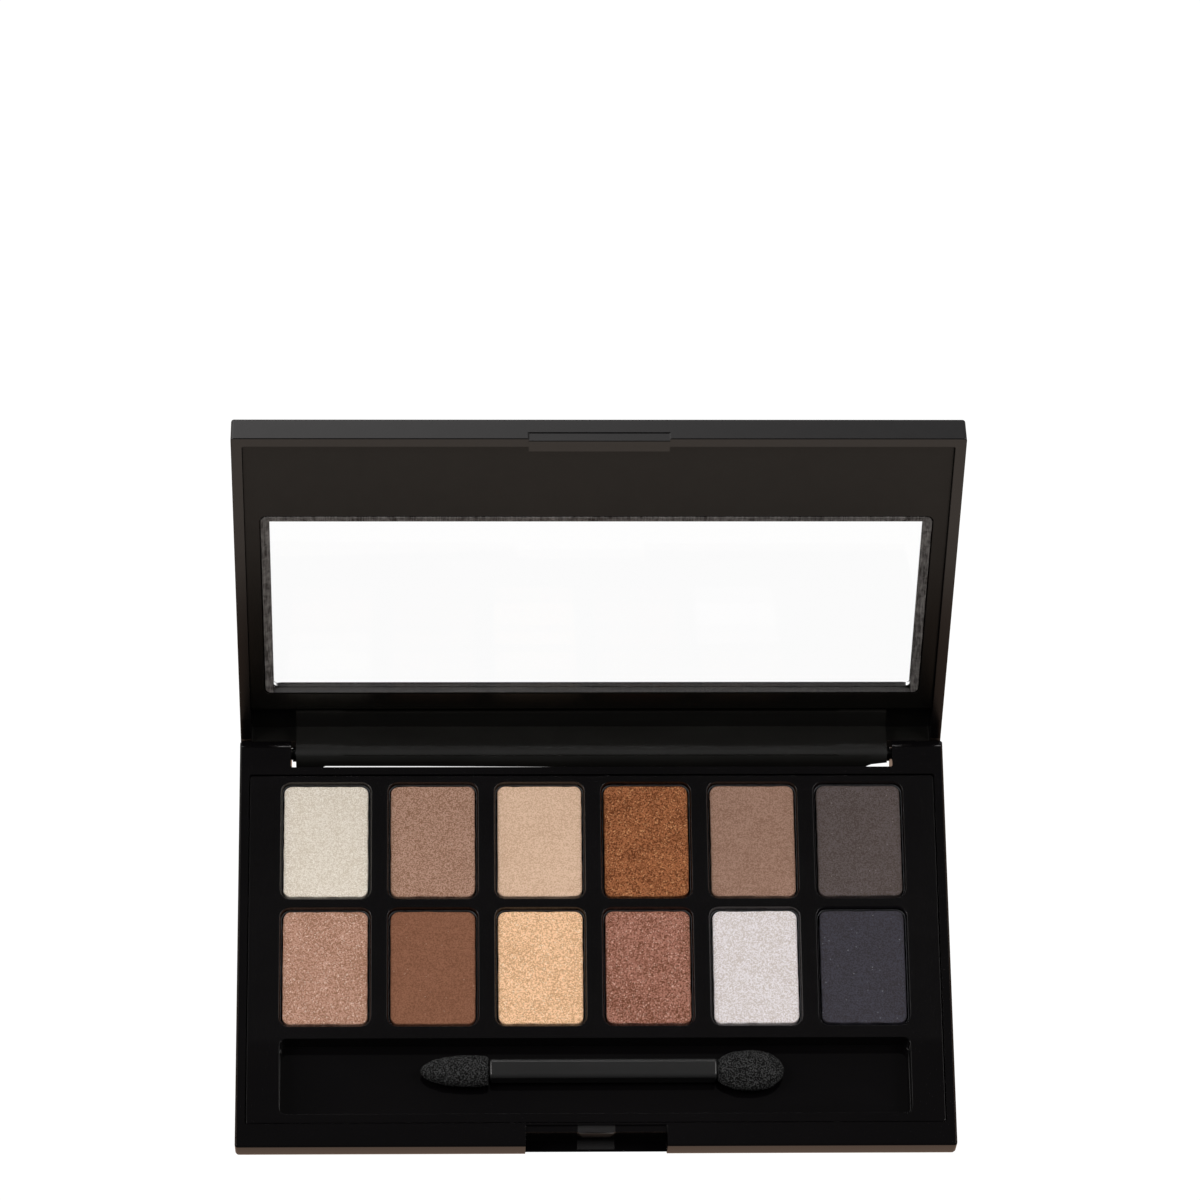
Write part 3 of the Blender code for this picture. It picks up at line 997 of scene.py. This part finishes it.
def geometry_tree(name: str, kinds: dict[str, str]) -> tuple[Graph, dict[str, Val]]:
    """Opens a Geometry Nodes tree with named inputs.

    Args:
        name: The tree's name.
        kinds: The kind of each input, such as Float or Int, by its name.

    Returns:
        The tree's graph, and its inputs by name, with Geometry among them.
    """
    tree = bpy.data.node_groups.new(name, "GeometryNodeTree")
    for label, kind in {"Geometry": "Geometry", **kinds}.items():
        tree.interface.new_socket(label, in_out="INPUT", socket_type=f"NodeSocket{kind}")
    tree.interface.new_socket("Geometry", in_out="OUTPUT", socket_type="NodeSocketGeometry")
    graph = Graph(tree)
    given = graph.add("NodeGroupInput", {}, {})
    return graph, {socket.name: Val(graph, socket) for socket in given.outputs if socket.name}


def closed_tree(graph: Graph, shape: Val, material: Val | bpy.types.Material) -> bpy.types.NodeTree:
    """Ends a Geometry Nodes tree in real instances and their material.

    Args:
        graph: The tree's graph.
        shape: The geometry.
        material: The material, or the input that gives it.

    Returns:
        The tree.
    """
    real = graph.step("GeometryNodeRealizeInstances", {}, {0: shape})
    painted = graph.step("GeometryNodeSetMaterial", {}, {0: real, "Material": material})
    graph.add("NodeGroupOutput", {}, {0: painted})
    return graph.tree


def set_inputs(modifier: bpy.types.NodesModifier, values: dict[str, object]) -> None:
    """Sets a Geometry Nodes modifier's inputs by their identifiers.

    Args:
        modifier: The modifier.
        values: Values by input name.
    """
    for item in modifier.node_group.interface.items_tree:
        if item.in_out == "INPUT" and item.name in values:
            modifier[item.identifier] = values[item.name]


@dataclass
class Powder:
    """One pressed powder cake with a worn edge and loose grains on it."""

    number: int
    finish: Cake
    roughness: float = 0.012
    wave: float = 0.012
    dish: float = 0.03
    corner: float = 1.4
    edge: float = 0.26
    edge_wear: float = 0.45
    edge_pull: float = 0.012
    patch_scale: float = 0.35
    seed_step: float = 7.3
    columns: int = 54
    rows: int = 76
    grains: int = 220
    grain: float = 0.04
    crowding: float = 1.25
    sunk: float = 0.04
    edge_drop: float = 0.28

    def build(self) -> bpy.types.Object:
        """Builds the cake and scatters its grains.

        Returns:
            The powder piece.
        """
        node = f"powder_{self.number:02d}"
        low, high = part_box(node)
        piece = finish_mesh(f"shade_{self.number:02d}", lambda bm: self.cake(bm, low / MM, high / MM), 60.0)
        modifier = piece.modifiers.new("grains", "NODES")
        modifier.node_group = grain_tree()
        values = {"Grains": self.grains, "Size": self.grain * MM, "Seed": self.number}
        set_inputs(modifier, {**values, "Material": self.finish.material()})
        return settle(baked(piece), self.finish, "case_base", [node])

    def cake(self, bm: BMesh, low: Vector, high: Vector) -> None:
        """Fills a bmesh with the cake.

        Args:
            bm: The bmesh.
            low: Lowest corner in millimetres.
            high: Highest corner in millimetres.
        """
        hx, hy = (high.x - low.x) / 2, (high.y - low.y) / 2
        cx, cy = (high.x + low.x) / 2, (high.y + low.y) / 2
        top = []
        for j in range(self.rows + 1):
            row = []
            for i in range(self.columns + 1):
                x, y = self.spread(i / self.columns * 2 - 1, j / self.rows * 2 - 1, hx, hy)
                row.append(bm.verts.new(self.surface(x, y, cx, cy, hx, hy, high.z)))
            top.append(row)
        for j in range(self.rows):
            for i in range(self.columns):
                bm.faces.new((top[j][i], top[j][i + 1], top[j + 1][i + 1], top[j + 1][i]))
        rim = top[0][:] + [row[-1] for row in top[1:]] + top[-1][-2::-1] + [row[0] for row in top[-2:0:-1]]
        skirt = [bm.verts.new((v.co.x, v.co.y, low.z)) for v in rim]
        for k in range(len(rim)):
            j = (k + 1) % len(rim)
            bm.faces.new((rim[k], skirt[k], skirt[j], rim[j]))
        fan_cap(bm, skirt)

    def spread(self, u: float, v: float, hx: float, hy: float) -> tuple[float, float]:
        """Maps a square grid onto the rounded rectangle, closer together near its edge.

        Args:
            u: Place across the grid, -1 to 1.
            v: Place along the grid, -1 to 1.
            hx: Half width of the cake.
            hy: Half depth of the cake.

        Returns:
            The point from the cake's middle.
        """
        x, y = (math.copysign(hx * (1 - (1 - abs(t)) ** self.crowding), t) for t in (u, v))
        y = y / hx * hy
        r = self.corner
        a, b = (abs(x) - hx + r) / r, (abs(y) - hy + r) / r
        if a > 0 and b > 0:
            x = math.copysign(hx - r + r * a * math.sqrt(1 - b * b / 2), x)
            y = math.copysign(hy - r + r * b * math.sqrt(1 - a * a / 2), y)
        return x, y

    def inset(self, x: float, y: float, hx: float, hy: float) -> float:
        """Distance from the cake's outline, inwards.

        Args:
            x: Place across, from the cake's middle.
            y: Place along, from the cake's middle.
            hx: Half width of the cake.
            hy: Half depth of the cake.

        Returns:
            The distance in millimetres.
        """
        r = self.corner
        a, b = abs(x) - hx + r, abs(y) - hy + r
        outside = math.hypot(max(a, 0.0), max(b, 0.0))
        return r - outside - min(max(a, b), 0.0)

    def surface(self, x: float, y: float, cx: float, cy: float, hx: float, hy: float, z: float) -> Point:
        """One point of the pressed top, with its worn edge and fine unevenness.

        Args:
            x: Place across, from the cake's middle.
            y: Place along, from the cake's middle.
            cx: Middle of the cake, across.
            cy: Middle of the cake, along.
            hx: Half width of the cake.
            hy: Half depth of the cake.
            z: Height of the CAD top.

        Returns:
            The point in millimetres.
        """
        patch = self.patch_scale
        spot = Vector(((x + cx) * patch, (y + cy) * patch, self.number * self.seed_step))
        wobble = noise.noise(spot * 1.6)
        depth = max(self.inset(x, y, hx, hy), 0.0)
        patchy = noise.noise(spot * 0.9 + Vector((3.0, 0.0, 0.0)))
        soft = self.edge * (1.0 + self.edge_wear * patchy)
        fall = min(depth / soft, 1.0)
        drop = (1.0 - math.sqrt(max(1.0 - (1.0 - fall) ** 2, 0.0))) * self.edge_drop
        there = Vector((x + cx, y + cy, self.number))
        fine = noise.noise(there * 3.1) + 0.6 * noise.noise(there * 7.7)
        hollow = self.dish * (1.0 - (x / hx) ** 2) * (1.0 - (y / hy) ** 2)
        pull = 1.0 - self.edge_pull * (1.0 + wobble) * (1.0 - fall)
        height = z - self.sunk - drop - hollow + self.roughness * fine + self.wave * wobble
        return (cx + x * pull, cy + y * pull, height)


def grain_tree() -> bpy.types.NodeTree:
    """Geometry Nodes tree that scatters loose grains over upward faces.

    Returns:
        The shared tree, built once.
    """
    if "loose_grains" in bpy.data.node_groups:
        return bpy.data.node_groups["loose_grains"]
    kinds = {"Grains": "Int", "Size": "Float", "Seed": "Int", "Material": "Material"}
    graph, given = geometry_tree("loose_grains", kinds)
    _, _, upright = graph.split(graph.step("GeometryNodeInputNormal", {}, {}))
    more = {"data_type": "FLOAT", "operation": "GREATER_THAN"}
    upward = graph.step("FunctionNodeCompare", more, {"A": upright, "B": GRAIN_UPRIGHT})
    inputs = {"Mesh": given["Geometry"], "Selection": upward, "Seed": given["Seed"]}
    inputs["Density"] = GRAIN_DENSITY
    spread = graph.add("GeometryNodeDistributePointsOnFaces", {}, inputs)
    grain = graph.step("GeometryNodeMeshIcoSphere", {}, {"Subdivisions": 1, "Radius": given["Size"]})
    sizes = {2: GRAIN_SIZES[0], 3: GRAIN_SIZES[1], "Seed": given["Seed"]}
    chance = graph.step("FunctionNodeRandomValue", {"data_type": "FLOAT"}, sizes, 1)
    points, turn = (Val(graph, spread.outputs[name]) for name in ("Points", "Rotation"))
    inputs = {"Points": points, "Instance": grain, "Rotation": turn, "Scale": chance}
    copies = graph.step("GeometryNodeInstanceOnPoints", {}, inputs)
    index = graph.step("GeometryNodeInputIndex", {}, {})
    more = {"data_type": "INT", "operation": "GREATER_EQUAL"}
    extra = graph.step("FunctionNodeCompare", more, {2: index, 3: given["Grains"]})
    kept = graph.step("GeometryNodeDeleteGeometry", {"domain": "INSTANCE"}, {0: copies, "Selection": extra})
    both = graph.step("GeometryNodeJoinGeometry", {}, {0: [given["Geometry"], kept]})
    return closed_tree(graph, both, given["Material"])


@dataclass
class Handle:
    """The applicator's bar-shaped handle with a thin stem at each end."""

    width: float = 3.5
    height: float = 3.8
    corner: float = 0.8
    stem_width: float = 1.9
    stem_height: float = 0.9
    stem_corner: float = 0.3
    bar: tuple[float, float] = (-17.95, 20.6)
    finish: Finish = field(
        default_factory=lambda: MouldedPlastic(
            "stick_plastic",
            (0.016, 0.016, 0.016),
            (0.021, 0.021, 0.021),
            polish=0.13,
            specular=0.5,
            texture=0.03,
        )
    )
    edge: float = 0.35
    edge_steps: int = 3
    corner_steps: int = 6

    def end(self, x: float, sign: int) -> list[tuple[float, float, float, float]]:
        """Sections of the bar's rounded end, from the end inwards.

        Args:
            x: Where the bar ends.
            sign: 1 at the low end, -1 at the high end.

        Returns:
            Place, width, height and corner radius of each section.
        """
        sections = []
        for k in range(self.edge_steps + 1):
            turn = math.pi / 2 * k / self.edge_steps
            inset = self.edge * (1 - math.sin(turn))
            place = x + sign * self.edge * (1 - math.cos(turn))
            corner = self.corner - inset * 0.6
            sections.append((place, self.width - 2 * inset, self.height - 2 * inset, corner))
        return sections

    def build(self) -> bpy.types.Object:
        """Lofts the handle through its sections.

        Returns:
            The handle.
        """
        low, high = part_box("applicator_stick")
        yc, zc = (low.y + high.y) / 2 / MM, (low.z + high.z) / 2 / MM
        x0, x1 = self.bar
        ends = (low.x / MM, high.x / MM)
        stem = (self.stem_width, self.stem_height, self.stem_corner)
        steps = [(ends[0], *stem), (x0, *stem), *self.end(x0, 1)]
        steps += [*reversed(self.end(x1, -1)), (x1, *stem), (ends[1], *stem)]
        loops = []
        for x, width, height, corner in steps:
            outline = rounded_rect(width, height, corner, self.corner_steps)
            loops.append([(x, yc + a, zc + b) for a, b in outline])
        piece = flattened(finish_mesh("applicator_handle", lambda bm: skin(bm, loops), 80.0))
        return settle(piece, self.finish, "applicator", ["applicator_stick"])


@dataclass
class FoamTip:
    """One soft foam tip over a stem, with real surface pores."""

    name: str
    node: str
    slot: str
    sign: int
    shape: tuple[Point, ...]
    sides: int = 120
    stations: int = 130
    pore_depth: float = 0.10
    pore_scales: tuple[float, float] = (4.2, 8.5)
    fine_share: float = 0.7
    swell: float = 0.03
    swell_scale: float = 0.8
    socket: tuple[float, float, float] = (1.15, 0.65, 6.6)

    def profile(self, t: float) -> tuple[float, float, float]:
        """One point of the smooth curve through the shape's points.

        Args:
            t: Share of the curve's length, 0 at the mouth.

        Returns:
            Distance from the mouth, half width and half thickness.
        """
        knots = np.array(self.shape)
        run = np.concatenate(([0.0], np.cumsum(np.hypot(np.diff(knots[:, 0]), np.diff(knots[:, 1])))))
        at = t * run[-1]
        k = int(np.clip(np.searchsorted(run, at) - 1, 0, len(run) - 2))
        s = (at - run[k]) / (run[k + 1] - run[k])
        p0, p1, p2, p3 = (knots[max(k - 1, 0)], knots[k], knots[k + 1], knots[min(k + 2, len(run) - 1)])
        square = (2 * p0 - 5 * p1 + 4 * p2 - p3) * s * s
        cube = (3 * p1 - p0 - 3 * p2 + p3) * s**3
        blend = 0.5 * ((2 * p1) + (p2 - p0) * s + square + cube)
        return tuple(float(c) for c in blend)

    def ring(self, centre: Point, a: float, b: float, pores: bool) -> list[Point]:
        """One ring of the tip, pitted by pores where asked.

        Args:
            centre: The ring's middle.
            a: Its half width.
            b: Its half thickness.
            pores: Whether it is pitted.

        Returns:
            The ring's points.
        """
        x, yc, zc = centre
        points = []
        for k in range(self.sides):
            angle = 2 * math.pi * k / self.sides
            c, s = math.cos(angle), math.sin(angle)
            spot = Vector((x, yc + a * c, zc + b * s))
            if pores:
                wide, fine = (noise.noise(spot * scale) for scale in self.pore_scales)
                pit = wide + self.fine_share * fine
                size = 1.0 + self.swell * noise.noise(spot * self.swell_scale)
                out = Vector((0.0, c * b, s * a)).normalized()
                swollen = Vector((spot.x, yc + a * c * size, zc + b * s * size))
                spot = swollen + out * (pit - 0.5) * self.pore_depth
            points.append(tuple(spot))
        return points

    def build(self) -> bpy.types.Object:
        """Builds the tip with an open socket for its stem.

        Returns:
            The foam tip.
        """
        low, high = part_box(self.node)
        yc, zc = (low.y + high.y) / 2 / MM, (low.z + high.z) / 2 / MM
        mouth = (high.x if self.sign < 0 else low.x) / MM
        a, b, depth = self.socket
        loops = []
        for k in range(self.stations + 1):
            d, half_w, half_t = self.profile(1 - k / self.stations)
            centre = (mouth + self.sign * d, yc, zc)
            loops.append(self.ring(centre, half_w, half_t, 0 < k < self.stations))
        for d in (0.0, depth):
            loops.append(self.ring((mouth + self.sign * d, yc, zc), a, b, False))
        piece = finish_mesh(self.name, lambda bm: skin(bm, loops), 70.0)
        settle(piece, OpenCellFoam(self.slot), "applicator", [self.node])
        return piece


# --------------------------------------------------------------------------- shades and tips

SHADES: tuple[tuple[Colour, Colour, float, Press], ...] = (
    ((0.650, 0.580, 0.488), (1.00, 0.97, 0.90), 0.11, Press.FROST),
    ((0.308, 0.175, 0.120), (0.70, 0.52, 0.42), 0.25, Press.SATIN),
    ((0.600, 0.408, 0.284), (0.80, 0.62, 0.48), 0.12, Press.MATTE),
    ((0.217, 0.072, 0.024), (0.86, 0.46, 0.20), 0.46, Press.SHIMMER),
    ((0.265, 0.153, 0.108), (0.48, 0.34, 0.27), 0.18, Press.MATTE),
    ((0.076, 0.058, 0.054), (0.42, 0.38, 0.36), 0.21, Press.MATTE),
    ((0.375, 0.203, 0.139), (0.96, 0.78, 0.66), 0.26, Press.SHIMMER),
    ((0.196, 0.081, 0.043), (0.60, 0.42, 0.32), 0.17, Press.MATTE),
    ((0.714, 0.434, 0.248), (1.00, 0.90, 0.68), 0.22, Press.SHIMMER),
    ((0.255, 0.106, 0.070), (0.92, 0.62, 0.50), 0.42, Press.SHIMMER),
    ((0.641, 0.584, 0.575), (1.00, 0.97, 1.00), 0.14, Press.FROST),
    ((0.034, 0.031, 0.040), (0.34, 0.34, 0.38), 0.20, Press.MATTE),
)

NARROW_TIP: tuple[Point, ...] = (
    (0.0, 2.15, 1.35), (0.12, 2.42, 1.52), (0.5, 2.60, 1.68), (1.4, 2.73, 1.80), (3.0, 2.78, 1.85),
    (5.2, 2.71, 1.85), (7.2, 2.48, 1.70), (8.8, 2.12, 1.45), (10.1, 1.64, 1.12), (10.9, 1.14, 0.78),
    (11.35, 0.66, 0.48), (11.55, 0.28, 0.22), (11.6, 0.02, 0.02),
)

WIDE_TIP: tuple[Point, ...] = (
    (0.0, 1.70, 1.20), (0.12, 1.86, 1.30), (0.5, 2.16, 1.42), (1.1, 2.58, 1.60), (2.7, 3.24, 1.84),
    (4.4, 3.55, 1.90), (5.9, 3.62, 1.88), (7.4, 3.48, 1.78), (8.8, 3.06, 1.58), (9.9, 2.46, 1.26),
    (10.7, 1.68, 0.92), (11.15, 0.92, 0.56), (11.33, 0.40, 0.28), (11.38, 0.02, 0.02),
)


# --------------------------------------------------------------------------- stage


@dataclass
class Studio:
    """Pale floor, soft lights and the camera."""

    lens: float = 168.11
    distance: float = 965.5
    pitch: float = 67.19
    yaw: float = 4.38
    roll: float = 4.01
    across: float = 1.17
    along: float = 60.91
    dim: float = 0.06
    under: float = 0.5
    under_edge: tuple[float, float] = (-0.1, 0.0)
    band_level: float = 1.32
    band_fade: float = 0.98
    band_top: tuple[float, float] = (0.44, 0.66)
    band_back: tuple[float, float] = (0.10, 0.36)
    band_side: tuple[float, float] = (-0.06, 0.10)
    strip_level: float = 3.4
    strip_low: tuple[float, float] = (0.73, 0.745)
    strip_high: tuple[float, float] = (0.79, 0.805)
    strip_back: tuple[float, float] = (0.50, 0.54)
    floor_half: float = 4.0
    floor_gap: float = 0.0004

    def camera(self) -> None:
        """Places the camera at the viewing angle."""
        p, w, t = (math.radians(a) for a in (self.pitch, self.yaw, self.roll))
        ahead = Vector((math.sin(w) * math.cos(p), math.cos(w) * math.cos(p), -math.sin(p)))
        right = Vector((math.cos(w), -math.sin(w), 0.0))
        up = right.cross(ahead)
        turned_right = right * math.cos(t) + up * math.sin(t)
        turned_up = up * math.cos(t) - right * math.sin(t)
        data = bpy.data.cameras.new("camera")
        data.lens = self.lens
        data.sensor_width = 36.0
        data.clip_start, data.clip_end = 0.05, 20.0
        camera = placed("camera", data)
        place = (turned_right * self.across + turned_up * self.along - ahead * self.distance) * MM
        axes = Matrix((turned_right, turned_up, -ahead)).transposed()
        camera.matrix_world = Matrix.Translation(place) @ axes.to_4x4()
        bpy.context.scene.camera = camera

    def light(self, name: str, place: Point, size: tuple[float, float], power: float, tone: Colour) -> None:
        """Adds a soft rectangular light aimed at the palette.

        Args:
            name: The light's name.
            place: Its position in metres.
            size: Its width and height in metres.
            power: Its power in watts.
            tone: Its colour.
        """
        data = bpy.data.lights.new(name, "AREA")
        data.shape = "RECTANGLE"
        data.size, data.size_y = size
        data.energy = power
        data.color = tone
        lamp = placed(name, data)
        aim = Vector((0.0, 0.0, 0.02)) - Vector(place)
        lamp.matrix_world = Matrix.Translation(place) @ aim.to_track_quat("-Z", "Y").to_matrix().to_4x4()

    def world(self) -> None:
        """Dark surround with a pale low band and a high strip behind; white where the camera sees it."""
        world = bpy.data.worlds.new("studio")
        bpy.context.scene.world = world
        graph = Graph(world)
        place = graph.step("ShaderNodeTexCoord", {}, {}, "Generated")
        side, away, height = graph.split(place)
        behind = height.below(*self.band_top) * away.above(*self.band_back)
        band = self.band_level - self.band_fade * side.above(*self.band_side)
        level = self.dim + behind * band + height.below(*self.under_edge) * self.under
        strip = height.above(*self.strip_low) * height.below(*self.strip_high)
        level = level + strip * away.above(*self.strip_back) * self.strip_level
        eye = graph.step("ShaderNodeLightPath", {}, {}, "Is Camera Ray")
        inputs = {"Color": (1.0, 1.0, 1.0), "Strength": level.top(eye)}
        graph.surface(graph.step("ShaderNodeBackground", {}, inputs))

    def floor(self) -> None:
        """Adds the pale floor just under the palette."""
        mesh = bpy.data.meshes.new("floor")
        half, z = self.floor_half, -self.floor_gap
        corners = [(-half, -half, z), (half, -half, z), (half, half, z), (-half, half, z)]
        mesh.from_pydata(corners, [], [(0, 1, 2, 3)])
        mesh.materials.append(PaleFloor("pale_floor").material())
        piece = placed("floor", mesh)

    def build(self) -> None:
        """Sets up the whole stage."""
        self.camera()
        self.world()
        self.floor()
        warm, white = (1.0, 0.99, 0.98), (1.0, 1.0, 1.0)
        self.light("left_soft", (-0.95, 0.12, 0.72), (0.7, 0.9), 6.6, warm)
        self.light("right_soft", (0.95, 0.12, 0.70), (0.7, 0.9), 5.9, warm)
        self.light("high_left", (-0.62, 0.0, 1.05), (0.3, 0.3), 3.5, white)
        self.light("high_right", (0.62, 0.0, 1.05), (0.3, 0.3), 3.5, white)
        view = bpy.context.scene.view_settings
        view.view_transform = "Standard"
        view.look = "None"
        view.exposure = 0.0
        view.gamma = 1.0


def main() -> None:
    """Builds the palette and its stage."""
    logging.basicConfig(level=logging.INFO, format="%(name)s %(message)s")
    Case().build()
    Lid().build()
    for side in ("left", "right"):
        HingePin(side).build()
    PanSet().build()
    for number, (tone, fleck, contrast, press) in enumerate(SHADES, start=1):
        name = f"powder_{number:02d}"
        Powder(number, Cake(name, tone, fleck, contrast, press, number * 0.0131)).build()
    Handle().build()
    FoamTip("foam_narrow_tip", "foam_tip_narrow", "foam_narrow", -1, NARROW_TIP).build()
    FoamTip("foam_wide_tip", "foam_tip_wide", "foam_wide", 1, WIDE_TIP).build()
    Studio().build()


if __name__ == "__main__":
    main()
